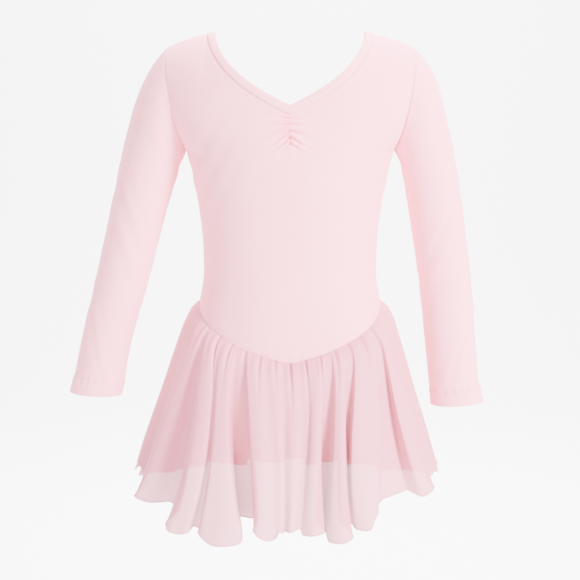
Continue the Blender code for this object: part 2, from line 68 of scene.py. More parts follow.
def smooth(at, stations, values):
    """Cubic curve through (stations, values). The slope at each station is the mean of its two
    neighbours, at most three times the gentler one, and zero where the values turn."""
    stations, values = np.asarray(stations, float), np.asarray(values, float)
    slopes = np.gradient(values, stations)
    secants = np.diff(values) / np.diff(stations)
    steepest = 3 * np.minimum(np.abs(secants[:-1]), np.abs(secants[1:]))
    steepest[secants[:-1] * secants[1:] <= 0] = 0.0
    slopes[1:-1] = np.clip(slopes[1:-1], -steepest, steepest)
    at = np.clip(at, stations[0], stations[-1])
    i = np.clip(np.searchsorted(stations, at, side="right") - 1, 0, len(stations) - 2)
    step = stations[i + 1] - stations[i]
    t = (at - stations[i]) / step
    rise = values[i + 1] - values[i]
    hermite = values[i] + rise * t * t * (3 - 2 * t)
    return hermite + step * t * (1 - t) * (slopes[i] * (1 - t) - slopes[i + 1] * t)


def unit(vectors):
    """Vectors divided by their lengths."""
    return vectors / np.maximum(np.linalg.norm(vectors, axis=-1, keepdims=True), 1e-9)


def bell(distance, width):
    """One at distance zero, falling to nearly nothing two widths away."""
    return np.exp(-((distance / width) ** 2))


def ramp(value, start, end):
    """Zero before start, one after end, and a smooth S between them."""
    t = np.clip((value - start) / (end - start), 0, 1)
    return t * t * (3 - 2 * t)


def run_lengths(points, axis):
    """Distance along a grid of points in one direction, counted from its first line."""
    steps = np.linalg.norm(np.diff(points, axis=axis), axis=-1)
    start = np.zeros_like(np.take(steps, [0], axis=axis))
    return np.concatenate([start, np.cumsum(steps, axis=axis)], axis=axis)


def grid_normals(points):
    """Unit normals of a grid of points, from the differences along its rows and columns."""
    return unit(np.cross(np.gradient(points, axis=1), np.gradient(points, axis=0)))


print("curve check", smooth([0, 0.5, 1], [0, 1, 2], [0, 1, 0]))

# %% [markdown]
# ## Sizes
#
# These are the rigid part's own sizes, because every sheet has to lie where its wall lies.


# %% Sizes of the cut
SHOULDER_TIP = (150.5, -24.0)
UNDERARM = (127.0, -148.0)
ARMHOLE_DEPTH, ARMHOLE_BOW = 44, 7
SHOULDER_ROLL = 90
NECK_SEAM = (101.0, -8.5)
NECK_EDGE = (91.5, -5.0)
NECK_BOTTOMS = {"front": (-104.0, -92.0), "back": (-162.0, -152.0)}
WAIST_X, WAIST_DEEP = 113, 82
WAIST_SIDE_Z, WAIST_FRONT_Z, WAIST_BACK_Z = -337.0, -402.0, -382.0
SKIRT_PUFF, SKIRT_PUFF_DROP = 12, 12
SIDE_FLARE, FRONT_FLARE = 0.29, 0.26
WAIST_POINT = 1.25
GATHERS, GATHER_HEIGHT, GATHER_FADE = 36, 2.0, 0.34
ROUNDNESS = 2.2
RIDGE_CROWN, MID_SHARE = 3.0, 0.55
CUFF_HEM = 19

BODY = table("z half_width front back", [
    (-410, 123, 83, 82),
    (-370, 119, 83, 80),
    (-337, 113, 82, 77),
    (-299, 107.5, 80, 73),
    (-260, 108.5, 80, 70),
    (-224, 112.5, 82, 70),
    (-187, 118.5, 86, 73),
    (-148, 127, 88, 77),
    (-104, 132, 86, 77),
    (-10, 132, 84, 72),
])
SLEEVE_COLUMNS = "outer_x outer_z inner_x inner_z centre_y depth"
RIGHT_SLEEVE = table(SLEEVE_COLUMNS, [
    (150.5, -24, 127, -148, 0, 44),
    (166, -43, 128.6, -151, 0, 43.5),
    (179, -65, 130.6, -155, 0, 43),
    (190, -91, 132.8, -160.5, 0, 41.5),
    (199, -120, 136.5, -169.5, 1, 39.5),
    (207.5, -152, 141.5, -187, 2, 37),
    (217.5, -199, 150.5, -216, 3, 34.5),
    (240, -297, 176.5, -312, 1, 31.5),
    (262, -391, 202, -406, -7, 29.5),
    (269, -426, 207, -436, -11, 29),
    (275, -449, 210.5, -453, -14, 28.5),
])
LEFT_SLEEVE = table(SLEEVE_COLUMNS, [
    (150.5, -24, 127, -148, 0, 44),
    (165, -39, 128.8, -150.8, 0, 43.5),
    (176, -57, 131.2, -154.5, 0, 43),
    (185, -81, 133.8, -160, 0, 41.5),
    (193, -110, 137, -169.5, 1, 39.5),
    (201.5, -147, 140.6, -187, 2, 37),
    (211, -199, 145.5, -214.5, 3, 34.5),
    (225, -301, 160.5, -310, 1, 31.5),
    (233, -401, 171, -407.5, -7, 29.5),
    (237, -441, 175, -447, -11, 29),
    (242, -461, 176.5, -465.5, -14, 28.5),
])
FOLD_COLUMNS = (
    "seam_ridge seam_valley mid_from mid_to mid_valley_from mid_valley_to "
    "hem_from hem_to hem_valley_from hem_valley_to ridge valley ridge_drop valley_drop"
)
FOLDS = table(FOLD_COLUMNS, [
    (-88, -78, -88, -80, -76, -72, -91, -81, -79, -77, 9, 2, 190, 200),
    (-72, -62, -70, -62, -58, -53, -75, -65, -61, -51, 11, -18, 214, 213),
    (-56, -50, -46, -37, -36, -35, -47, -37, -36.5, -34.5, 16, 5, 228, 217),
    (-44, -34, -34, -26, -29, -19, -33, -16.5, -22, -14, 20, -22, 225, 196),
    (-24, -12, -17, -7, -5, -4, -12.5, -5, -3.5, -2.5, 15, 11, 204, 192),
    (-4, 4, -3, 5, 5.5, 8.5, -2, 2, 2.5, 3.5, 13, 7, 188, 189),
    (12, 19, 8.5, 13.5, 14.5, 19.5, 4.5, 12.5, 10.5, 14, 14, -16, 198, 193),
    (26, 33, 18.5, 24, 23.5, 28.5, 13, 21.5, 20, 24, 20, -12, 214, 203),
    (41, 52, 27, 41, 47, 59, 23, 31, 43, 58, 16, -16, 214, 197),
    (64, 74, 56, 71, 73, 78, 60, 69, 71, 76, 4, -6, 207, 205),
    (80, 90, 80, 88, 92, 97, 78, 89, 92, 95, -3, -10, 200, 212),
    (101, 111, 98, 107, 108, 116, 98, 108, 108, 118, 4, -12, 222, 226),
    (121, 132, 119, 130, 130, 138, 117, 131, 128, 139, 15, -15, 228, 217),
    (140, 148, 139, 147, 148, 153, 138, 148, 149, 154, 10, -9, 213, 206),
    (155, 166, 154, 165, 166, 172, 155, 170, 167, 173, 16, -14, 204, 198),
    (174, 181, 174, 181, 182, 186, 174, 182, 183, 187, 9, -6, 196, 197),
    (188, 200, 188, 199, 200, 207, 188, 203, 200, 207, 15, -15, 201, 203),
    (209, 218, 209, 217, 218, 224, 208, 218, 219, 225, 11, -8, 208, 215),
    (227, 238, 227, 237, 238, 244, 226, 240, 238, 246, 16, -14, 225, 228),
    (246, 255, 247, 255, 256, 261, 247, 257, 257, 261, 10, -8, 232, 226),
    (262, 268, 262, 267, 268, 270.5, 262, 266, 267, 268, 6, -4, 222, 205),
])
print("sections", len(BODY["z"]), "folds", len(FOLDS["ridge"]))

# %% [markdown]
# ## The body's surface
#
# A garment on a figure could be draped by simulation over a dummy, but a dummy isn't part of
# the dress and a simulation would move the outline. So the surface is a formula: a rounded
# oval at each height that closes over the shoulders, made wide enough at the armhole's heights
# to pass through the armhole seam.


# %% The armhole and the body's surface
def armhole(angle):
    """Points of the armhole seam on the +X side. The angle is 0 at the shoulder tip, 90 in
    front and 180 under the arm; the ring is an oval bowed outward by the sine of the angle."""
    top = np.array([SHOULDER_TIP[0], 0.0, SHOULDER_TIP[1]])
    bottom = np.array([UNDERARM[0], 0.0, UNDERARM[1]])
    half = (top - bottom) / 2
    up = unit(half)
    along = np.array([up[2], 0.0, -up[0]])
    angle = np.radians(np.asarray(angle, float))[..., None]
    ring = (top + bottom) / 2 + half * np.cos(angle)
    ring = ring - np.array([0.0, 1.0, 0.0]) * ARMHOLE_DEPTH * np.sin(angle)
    return ring + along * ARMHOLE_BOW * np.abs(np.sin(angle))


def shoulder_line(x):
    """Height of the shoulder seam: steep up to the neck, then falling to the shoulder tip."""
    run = (np.abs(x) - NECK_SEAM[0]) / (SHOULDER_TIP[0] - NECK_SEAM[0])
    fall = (SHOULDER_TIP[1] - NECK_SEAM[1]) * (0.35 * run + 0.65 * run**2)
    slope = (NECK_EDGE[1] - NECK_SEAM[1]) / (NECK_SEAM[0] - NECK_EDGE[0])
    return NECK_SEAM[1] + np.where(run > 0, fall, slope * (NECK_SEAM[0] - np.abs(x)))


def depth_at(x, z, face):
    """Depth of the body's middle, rounded off towards the shoulder seam by a quarter circle."""
    share = np.clip((shoulder_line(x) - z) / SHOULDER_ROLL, 0, 1)
    return smooth(z, BODY["z"], BODY[face]) * np.sqrt(1 - (1 - share) ** 2)


def half_width_at(z, face):
    """Half width of the oval at a height: the side seam below the arm, and above it the width
    that takes the oval through the armhole."""
    z = np.minimum(z, SHOULDER_TIP[1] - 2.0)
    middle = (SHOULDER_TIP[1] + UNDERARM[1]) / 2
    cosine = np.clip((z - middle) / (SHOULDER_TIP[1] - middle), -1, 1)
    ring = armhole(np.degrees(np.arccos(cosine)))
    deep = depth_at(np.minimum(ring[..., 0], SHOULDER_TIP[0]), z, face)
    ratio = np.clip(-ring[..., 1] / deep, 0, 0.99)
    above = ring[..., 0] / (1 - ratio**ROUNDNESS) ** (1 / ROUNDNESS)
    return np.where(z < UNDERARM[1], smooth(z, BODY["z"], BODY["half_width"]), above)


def surface(x, z, face):
    """Points of the body at (x, z); the front is at -Y and the back at +Y."""
    share = np.clip(np.abs(x) / half_width_at(z, face), 0, 1)
    y = depth_at(x, z, face) * (1 - share**ROUNDNESS) ** (1 / ROUNDNESS)
    return np.stack(np.broadcast_arrays(x, y if face == "back" else -y, z), axis=-1)


def outward(points, face):
    """Unit normals of the body, from the slope of its oval formula."""

    def oval(p):
        across = np.abs(p[..., 0]) / half_width_at(p[..., 2], face)
        deep = depth_at(p[..., 0], p[..., 2], face)
        return across**ROUNDNESS + (np.abs(p[..., 1]) / np.maximum(deep, 1e-3)) ** ROUNDNESS

    moves = np.eye(3) * 0.4
    normal = unit(np.stack([oval(points + m) - oval(points - m) for m in moves], axis=-1))
    slope = shoulder_line(points[..., 0] + 0.5) - shoulder_line(points[..., 0] - 0.5)
    on_top = unit(np.stack([-slope, slope * 0, np.ones_like(slope)], axis=-1))
    near_top = (np.abs(points[..., 1]) < 1.5) & (points[..., 2] > SHOULDER_TIP[1] - 6)
    return np.where(near_top[..., None], on_top, normal)


def neck_line(face, t, at_edge=False):
    """Half width and height of the neck, from the shoulder at t = 0 to the centre at t = 1. In
    front it is a V, whose half width shrinks first slowly, then with the power 2.4 of t. Behind
    it is a rounded oval."""
    x, top = NECK_EDGE if at_edge else NECK_SEAM
    bottom = NECK_BOTTOMS[face][at_edge]
    vee, scoop = 1 - 0.25 * t - 0.75 * t**2.4, np.sqrt(np.clip(1 - t**2.6, 0, 1))
    return x * (vee if face == "front" else scoop), top + (bottom - top) * t


def even_neck(face, rows):
    """Values of t, from the centre to the shoulder, that cut the neck seam in equal lengths."""
    t = (1 + np.cos(np.linspace(0, math.pi, 4001))) / 2
    steps = np.linalg.norm(np.diff(surface(*neck_line(face, t), face), axis=0), axis=1)
    along = np.concatenate([[0], np.cumsum(steps)])
    return np.interp(np.linspace(0, along[-1], rows + 1), along, t)


print("chest", surface(0.0, -150.0, "front"))

# %% [markdown]
# ## Materials
#
# Three cloths are needed. Jersey is a fine knit: its wales run along the cloth and its
# stitches lean left and right in turn. Binding is the same cloth folded, so its wales run
# across the band. Chiffon is a sheer plain weave, so its threads leave gaps and its alpha is
# below one. A photograph of cloth could give the same look, but a formula keeps the scale of
# the threads right on every piece. Each sheet has a UV map in metres, so that a thread is as
# wide on a sleeve as on the bodice, and an attribute that tells how far the nearest seam is.
# The colours are set deeper than the cloth's own, because the standard view pales bright light.


# %% Shader arithmetic
class Shade:
    """An output socket of a material, with ordinary arithmetic on it."""

    def __init__(self, tree, socket):
        self.tree, self.socket = tree, socket

    def node(self, kind, output=0, inputs=None, **settings):
        """Any other node: its settings, then its inputs by name or number."""
        node = self.tree.nodes.new(kind)
        for name, value in settings.items():
            setattr(node, name, value)
        for name, value in (inputs or {}).items():
            feed(self.tree, node.inputs[name], value)
        return Shade(self.tree, node.outputs[output])

    def maths(self, operation, *others):
        values = dict(enumerate((self, *others)))
        return self.node("ShaderNodeMath", inputs=values, operation=operation)

    def __add__(self, other):
        return self.maths("ADD", other)

    def __sub__(self, other):
        return self.maths("SUBTRACT", other)

    def __mul__(self, other):
        return self.maths("MULTIPLY", other)

    def __truediv__(self, other):
        return self.maths("DIVIDE", other)

    def __rsub__(self, other):
        return self.maths("MULTIPLY", -1.0) + other

    def __rtruediv__(self, other):
        return self.maths("POWER", -1.0) * other

    __radd__, __rmul__ = __add__, __mul__

    def wave(self):
        """The sine of this value in turns, moved to lie between zero and one."""
        return (self * (2 * math.pi)).maths("SINE") * 0.5 + 0.5

    def ramp(self, start, end):
        """Zero before start, one after end, smooth between."""
        values = {"Value": self, "From Min": start, "From Max": end}
        return self.node("ShaderNodeMapRange", inputs=values, interpolation_type="SMOOTHSTEP")

    def mix(self, first, second):
        """A colour between two, by this value."""
        values = {"Factor": self, 6: first, 7: second}
        return self.node("ShaderNodeMix", output=2, inputs=values, data_type="RGBA")


def feed(tree, socket, value):
    """Link a value into a socket, or set the socket to a number or colour."""
    if isinstance(value, Shade):
        tree.links.new(value.socket, socket)
    else:
        socket.default_value = value


def linear(red, green, blue):
    """A colour of the photograph's scale, from 0 to 255, as linear light with alpha 1."""
    parts = np.array([red, green, blue]) / 255
    light = np.where(parts > 0.04045, ((parts + 0.055) / 1.055) ** 2.4, parts / 12.92)
    return (*[float(v) for v in light], 1.0)


def new_material(name):
    """A material with its Principled shader, and the UV map in metres: whole, its part across
    the cloth and its part down the cloth."""
    material = bpy.data.materials.new(name)
    material.use_nodes = True
    tree = material.node_tree
    shader = tree.nodes["Principled BSDF"]
    uv = Shade(tree, shader.outputs[0]).node("ShaderNodeUVMap", uv_map="cloth")
    across = uv.node("ShaderNodeSeparateXYZ", inputs={0: uv})
    down = Shade(tree, across.socket.node.outputs[1])
    return material, shader, uv, across, down


def finish_material(shader, colour, roughness, height, depth, others):
    """Join colour, roughness and a bump of the given depth to the shader, and set the rest."""
    bump = height.node("ShaderNodeBump", inputs={"Height": height, "Distance": depth})
    values = {"Base Color": colour, "Roughness": roughness, "Normal": bump}
    for name, value in {**values, **others}.items():
        feed(height.tree, shader.inputs[name], value)


def noise(vector, scale, **inputs):
    """Noise at a scale in turns for each unit of the vector."""
    values = {"Vector": vector, "Scale": scale, **inputs}
    return vector.node("ShaderNodeTexNoise", inputs=values)


def sheen(weight, roughness, green, specular):
    """Settings for the soft light on a cloth's fibres, with a little less green in it."""
    return {
        "Sheen Weight": weight,
        "Sheen Roughness": roughness,
        "Sheen Tint": (1.0, green, green + 0.01, 1.0),
        "Specular IOR Level": specular,
    }


def seam_distance(shade):
    """Distance to the nearest seam in millimetres, from the mesh."""
    return shade.node("ShaderNodeAttribute", output=2, attribute_name="seam")


print("pink in linear light", linear(250, 225, 230))


# %% Jersey, binding and chiffon
def make_jersey(name, colour, deep, wale=0.00065, course=0.0005):
    """Fine knit: wales are ridges along the cloth, and each wale carries slanted loops. The
    seam attribute sinks the cloth within a millimetre of a seam, and darkens it there with
    painted shade."""
    material, shader, uv, across, down = new_material(name)
    wales = (across / wale).maths("PINGPONG", 1.0)
    loops = (down / course + wales * 0.9).wave()
    knit = wales * 0.6 + loops * 0.4
    seam = seam_distance(uv)
    mottle = noise(uv, 55.0, Detail=4.0, Roughness=0.6)
    fuzz = noise(uv, 900.0, Detail=2.0)
    cloth = (knit * 0.10 + mottle * 0.35 + fuzz * 0.10 + 0.42).mix(deep, colour)
    # Painted shade: the knit turns a deeper pink along its seams.
    shaded = seam.ramp(0.0, 0.5).mix(SEAM_SHADE_PINK, cloth)
    height = knit * 0.10 + fuzz * 0.05 + seam.ramp(0.0, 1.5) * 0.4
    fibres = sheen(0.12, 0.45, 0.93, 0.25)
    finish_material(shader, shaded, mottle * 0.12 + 0.78, height, JERSEY_BUMP, fibres)
    return material


def make_chiffon(name, colour, deep, thread=0.0005):
    """Sheer plain weave: two sets of fine threads, a little closed where they cross, in long
    soft streaks down the cloth where the threads lie closer."""
    material, shader, uv, across, down = new_material(name)
    weave = (across / thread).wave().maths("MAXIMUM", (down / thread).wave())
    long = uv.node("ShaderNodeMapping", inputs={"Vector": uv, "Scale": (120.0, 7.0, 1.0)})
    streaks = noise(long, 1.0, Detail=3.0)
    crepe = noise(uv, 1400.0)
    shade = (weave * 0.2 + streaks * 0.3 + crepe * 0.15 + 0.25).mix(deep, colour)
    # Painted shade: the chiffon turns a deeper pink along its seams, weaker at the waist.
    shaded = seam_distance(uv).ramp(0.3, 1.0).mix(CHIFFON_SEAM_SHADE_PINK, shade)
    height = weave * 0.12 + crepe * 0.12 + streaks * 0.15
    others = {**sheen(0.08, 0.35, 0.95, 0.35), "Alpha": weave * 0.05 + streaks * 0.04 + 0.87}
    finish_material(shader, shaded, streaks * 0.15 + 0.5, height, CHIFFON_BUMP, others)
    return material


def make_thread(name, colour):
    """Twisted sewing thread: slanted ridges along each stitch."""
    material, shader, _, across, down = new_material(name)
    twist = ((across + down) / 0.0003).wave()
    cloth = twist.mix(TWIST_PINK, colour)
    finish_material(shader, cloth, twist * 0.1 + 0.5, twist, THREAD_BUMP, {})
    return material


JERSEY_BUMP, CHIFFON_BUMP, THREAD_BUMP = 0.0009, 0.0004, 0.0001
# The seam colours are painted shade: deeper pink lines where the cloth runs into a seam.
SEAM_SHADE_PINK, CHIFFON_SEAM_SHADE_PINK = linear(240, 150, 168), linear(226, 142, 162)
TWIST_PINK = linear(226, 150, 166)
PALE = linear(250, 160, 178)
ROSE = linear(244, 144, 164)
jersey = make_jersey("jersey_cloth", PALE, ROSE)
binding_cloth = make_jersey("binding_cloth", PALE, ROSE, wale=0.0008, course=0.00065)
chiffon = make_chiffon("chiffon_cloth", linear(219, 133, 152), linear(195, 107, 128))
hem_cloth = make_thread("rolled_hem_cloth", linear(222, 142, 160))
thread = make_thread("sewing_thread", linear(249, 168, 184))
print("materials", [m.name for m in (jersey, binding_cloth, chiffon, hem_cloth, thread)])

# %% [markdown]
# ## From grids to meshes
#
# Every sheet starts as a grid of points in rows and columns. Building the mesh from the arrays
# at once keeps the script fast. The seam attribute is a distance, which blends exactly between
# the points of a grid, so a seam's line of painted shade can be thinner than the grid's own
# squares.


# %% Mesh from grids
def add_object(name, data):
    """A new object in the scene, at the origin."""
    obj = bpy.data.objects.new(name, data)
    bpy.context.scene.collection.objects.link(obj)
    return obj


def make_mesh(name, points, faces, uv, material, seam=None):
    """A smooth mesh object from points in millimetres, with its UV in metres and, if given,
    its seam distance in millimetres. Points that no face uses are left out."""
    used, numbers = np.unique(faces, return_inverse=True)
    mesh = bpy.data.meshes.new(name)
    points = points.reshape(-1, 3)[used] * MM
    mesh.from_pydata(points.tolist(), [], numbers.reshape(faces.shape).tolist())
    corners = np.empty(len(mesh.loops), int)
    mesh.loops.foreach_get("vertex_index", corners)
    uv = uv.reshape(-1, 2)[used][corners] * MM
    mesh.uv_layers.new(name="cloth").data.foreach_set("uv", uv.ravel())
    if seam is not None:
        distance = mesh.attributes.new("seam", "FLOAT", "POINT")
        distance.data.foreach_set("value", seam.ravel()[used])
    mesh.materials.append(material)
    mesh.shade_smooth()
    obj = add_object(name, mesh)
    print(f"{name}: {len(mesh.polygons)} faces, {area_of(obj):.4f} m2")
    return obj


def grid_numbers(points):
    """Numbers of the points of a grid, in its rows and columns."""
    return np.arange(points[..., 0].size).reshape(points.shape[:-1])


def grid_faces(index, flip=False):
    """Squares between the rows and columns of a grid of point numbers."""
    a, b = index[:-1, :-1].ravel(), index[:-1, 1:].ravel()
    c, d = index[1:, 1:].ravel(), index[1:, :-1].ravel()
    return np.stack([a, d, c, b] if flip else [a, b, c, d], axis=1)


def area_of(obj):
    """Area of an object's faces, in square metres."""
    return sum(polygon.area for polygon in obj.data.polygons)


def flat_size(obj, tall=None):
    """Width and length of a sheet's UV map, which is in metres along the cloth. On a bodice
    panel the map climbs along the neck, so its length is given as the height of the panel."""
    uv = np.empty(len(obj.data.loops) * 2)
    obj.data.uv_layers["cloth"].data.foreach_get("uv", uv)
    wide, long = np.ptp(uv.reshape(-1, 2), axis=0)
    return round(float(wide), 3), round(float(long if tall is None else tall), 3)


# %% [markdown]
# ## Bodice
#
# Each panel is two half grids that share the centre line up to the neck. Rows climb from the
# waist seam; their outer ends go up the side seam and round the armhole, and their inner ends
# go up the centre line and along the neck seam. Creases are added along the normal: the pinched
# gather under the V with folds that fan out of it, drag lines below the arms, and a slow
# unevenness all over, as on any worn jersey. The oval's formula changes at the underarm, so
# the surface there is a mean of nine heights close by, and no line crosses the chest.


# %% Creases of the bodice
PINCH_HEIGHT, PINCH_PITCH, PINCH_REACH, PINCH_BOTTOM = 2.7, 7.2, 15, 38
DRAG_HEIGHT, DRAG_HEIGHT_RIGHT = 0.5, 0.75


def pinch(x, z):
    """The gather under the V. A line of stitches shortens the centre line, so folds run out
    from it to both sides: level at the top, and bent down like a chevron at the bottom. A
    point's fold is found by its depth below the V, less a slope times its distance out."""
    below = NECK_BOTTOMS["front"][0] - z
    out = np.abs(x)
    slope = -0.25 + 1.15 * np.clip(below / 34, 0, 1) ** 1.1
    start = below - slope * out * (1 - out / 70)
    reach = np.exp(-((out / PINCH_REACH) ** 1.6)) * ramp(start, -1, 5)
    reach = reach * (1 - ramp(start, 27, PINCH_BOTTOM))
    folds = np.sin(start * 2 * math.pi / PINCH_PITCH + 0.05 * x + 0.8)
    sharp = np.abs(folds) ** 0.8 * np.sign(folds)
    slit = 2.25 * bell(x, 1.3) * ramp(below, 22, 26) * (1 - ramp(below, 33, PINCH_BOTTOM))
    spread = 0.35 * np.cos(np.arctan2(x, below + 20) * 24) * bell(np.hypot(x, below - 42), 16)
    return PINCH_HEIGHT * sharp * reach - slit + spread


def drag_lines(x, z, side):
    """Soft diagonal folds from under each arm towards the waist, stronger on one side."""
    run = np.abs(x) + 0.55 * (z - UNDERARM[1])
    near = bell(np.hypot(np.abs(x) - 112, z + 172), 42)
    return np.where(side > 0, DRAG_HEIGHT, DRAG_HEIGHT_RIGHT) * near * np.sin(run / 4.6)


def slow_waves(x, z, seed):
    """A sum of long slanted waves, about half a millimetre high."""
    waves = np.sin(x / 19 + z / 31 + seed) + np.sin(x / -13 + z / 47 + 2.1 * seed)
    waves = waves + 0.7 * np.sin(x / 41 - z / 17 + 3.3 * seed) * np.cos(x / 23 + seed)
    return 0.22 * waves


def waist_pull(x, above):
    """Short vertical folds that the skirt's gathers pull into the jersey above the seam."""
    return 0.35 * np.sin(x / 2.6 + 0.8 * np.sin(x / 17)) * np.exp(-above / 16)


def armhole_pull(distance, z):
    """Small folds square to the armhole seam, within two centimetres of it."""
    return 0.4 * np.sin(z / 3.4 + 0.7 * np.sin(z / 13)) * np.exp(-distance / 11)


print("pinch depth", pinch(np.array([0.0, 4.0]), -112.0))

# %% Bodice panels
SIDE_ROWS, CHEST_ROWS, NECK_ROWS, SCOOP_START = 72, 60, 64, 60
HALF_COLUMNS = 110
UNDERARM_SOFT, UNDERARM_REACH = 13, 9
SEAM_SINK, SEAM_SOFT, FAR = 0.5, 2.5, 99.0
ARM_ANGLES = np.concatenate(
    [np.linspace(180, 112, CHEST_ROWS + 1), np.linspace(112, 0, NECK_ROWS + 1)[1:]]
)


def bodice_half(face, side):
    """Points, UV and seam distances of half a panel, on the side of the given sign."""
    rise = np.linspace(WAIST_SIDE_Z, UNDERARM[1], SIDE_ROWS + 1)[:-1]
    ring = armhole(ARM_ANGLES)
    side_x = np.concatenate([half_width_at(rise, "front"), ring[:, 0]])
    side_z = np.concatenate([rise, ring[:, 2]])
    neck_bottom = NECK_BOTTOMS[face][0]
    if face == "front":
        lower = np.linspace(WAIST_FRONT_Z, UNDERARM[1], SIDE_ROWS + 1)
        chest = np.linspace(UNDERARM[1], neck_bottom, CHEST_ROWS + 1)[1:]
        centre = np.concatenate([lower, chest])
    else:
        centre = np.linspace(WAIST_BACK_Z, neck_bottom, SCOOP_START + 1)
    neck_x, neck_z = neck_line(face, even_neck(face, len(side_x) - len(centre)))
    centre_x = np.concatenate([centre * 0, neck_x[1:]])
    centre_z = np.concatenate([centre, neck_z[1:]])
    s = np.linspace(0, 1, HALF_COLUMNS + 1)[None, :] ** 1.4
    high = np.clip((np.arange(len(side_x)) - SIDE_ROWS) / CHEST_ROWS, 0, 1)[:, None]
    across = (1 - high) * np.sin(s * math.pi / 2) + high * s
    x = centre_x[:, None] + (side_x - centre_x)[:, None] * across
    low = s**WAIST_POINT if face == "front" else across**2
    bend = high * (0.35 * across + 0.65 * across**2) + (1 - high) * low
    z = centre_z[:, None] + (side_z - centre_z)[:, None] * bend
    points = surface(x, z, face)
    steps = np.linspace(-UNDERARM_REACH, UNDERARM_REACH, 9)
    nearby = [surface(x, z + step, face)[..., 1] for step in steps]
    soft = bell(z - UNDERARM[1], UNDERARM_SOFT) * (1 - ramp(across, 0.82, 0.97))
    points[..., 1] += soft * (np.mean(nearby, axis=0) - points[..., 1])
    points[SIDE_ROWS:, -1] = ring * [1, -1 if face == "back" else 1, 1]
    points[: SIDE_ROWS + 1, -1, 1] = 0.0
    points[-1, :, 1] = 0.0
    normal = outward(points, face)
    to_side = run_lengths(points[:, ::-1], 1)[:, ::-1]
    from_waist = run_lengths(points, 0)
    to_top = run_lengths(points[::-1], 0)[::-1]
    from_neck = run_lengths(points, 1)
    bound = np.arange(len(side_x)) >= len(centre)
    neck_gap = np.where(bound[:, None], from_neck, FAR)
    seam = np.minimum(np.minimum(to_side, from_waist + 1.0), np.minimum(to_top, neck_gap))
    folds = slow_waves(side * x, z, 0.7 if face == "front" else 2.9)
    folds = folds + drag_lines(x, z, side) + waist_pull(side * x, z - centre_z[0])
    folds = folds + armhole_pull(to_side, z) * high
    if face == "front":
        folds = folds + pinch(side * x, z)
    folds = folds * ramp(seam, 0, 4) - SEAM_SINK * (1 - ramp(seam, 0, SEAM_SOFT))
    points = (points + normal * folds[..., None]) * [side, 1, 1]
    uv = np.stack([side * from_neck, from_waist], axis=-1)
    return points, uv, seam, len(centre) - 1


def make_panel(face):
    """Both halves of a panel in one mesh, sharing the centre line up to the neck."""
    right, left = bodice_half(face, -1.0), bodice_half(face, 1.0)
    index = grid_numbers(right[0])
    other = index + index.size
    shared = right[3] + 1
    other[:shared, 0] = index[:shared, 0]
    front = face == "front"
    faces = np.concatenate([grid_faces(index, not front), grid_faces(other, front)])
    points, uv, seam = (np.concatenate(halves) for halves in zip(right[:3], left[:3]))
    return make_mesh(f"{face}_bodice_cloth", points, faces[:, ::-1], uv, jersey, seam)


front_panel = make_panel("front")
back_panel = make_panel("back")
for panel, node in ((front_panel, "bodice_front"), (back_panel, "bodice_back")):
    heights = [corner[2] for corner in panel.bound_box]
    flat = flat_size(panel, tall=max(heights) - min(heights))
    print(node, "flat size", flat)
    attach(panel, "root")
    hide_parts(node)

# %% [markdown]
# ## Sleeves
#
# A sleeve is a tube swept through its measured sections. Its divisions round the arm are those
# of the armhole, so the two pieces meet point for point. The bent arm makes soft folds inside
# the elbow, the cloth bunches a little under the arm, and the cuff is turned up and stitched.


# %% Sleeves
SLEEVE_ROWS = 190
BOW_FADE, CUFF_THREAD_ROWS = 45, (2.6, 0.4)
CUFF_RELIEF, CUFF_PUCKER = 0.7, 0.5
CUFF_TURN = table("depth rise", [(0.5, -0.4), (1.1, 0.2), (1.3, 6), (1.3, CUFF_HEM)])


def sleeve_folds(along, angle, length, side):
    """Folds across a sleeve: under the arm, inside the elbow and above the cuff. The angle is
    0 on the outer side of the arm and 180 on its inner side."""
    inner = 0.5 - 0.5 * np.cos(np.radians(angle))
    front = 0.5 + 0.5 * np.sin(np.radians(angle))
    drift = np.radians(angle) * 2.2
    under = bell(along - 26, 30) * inner**1.5 * np.sin(along / 4.4 + drift)
    elbow = bell(along - 0.47 * length, 46) * (0.35 * inner + 0.65 * front)
    elbow = elbow * np.sin(along / 6.3 + 0.6 * drift + 0.5 * np.sin(along / 21))
    wrist = bell(along - 0.86 * length, 34) * np.sin(along / 7.5 - drift + side)
    twist = np.sin(along / 37 + drift * 0.5 + side) * np.cos(np.radians(angle) * 2 + along / 90)
    return 0.55 * under + 0.75 * elbow + 0.45 * wrist + 0.35 * twist


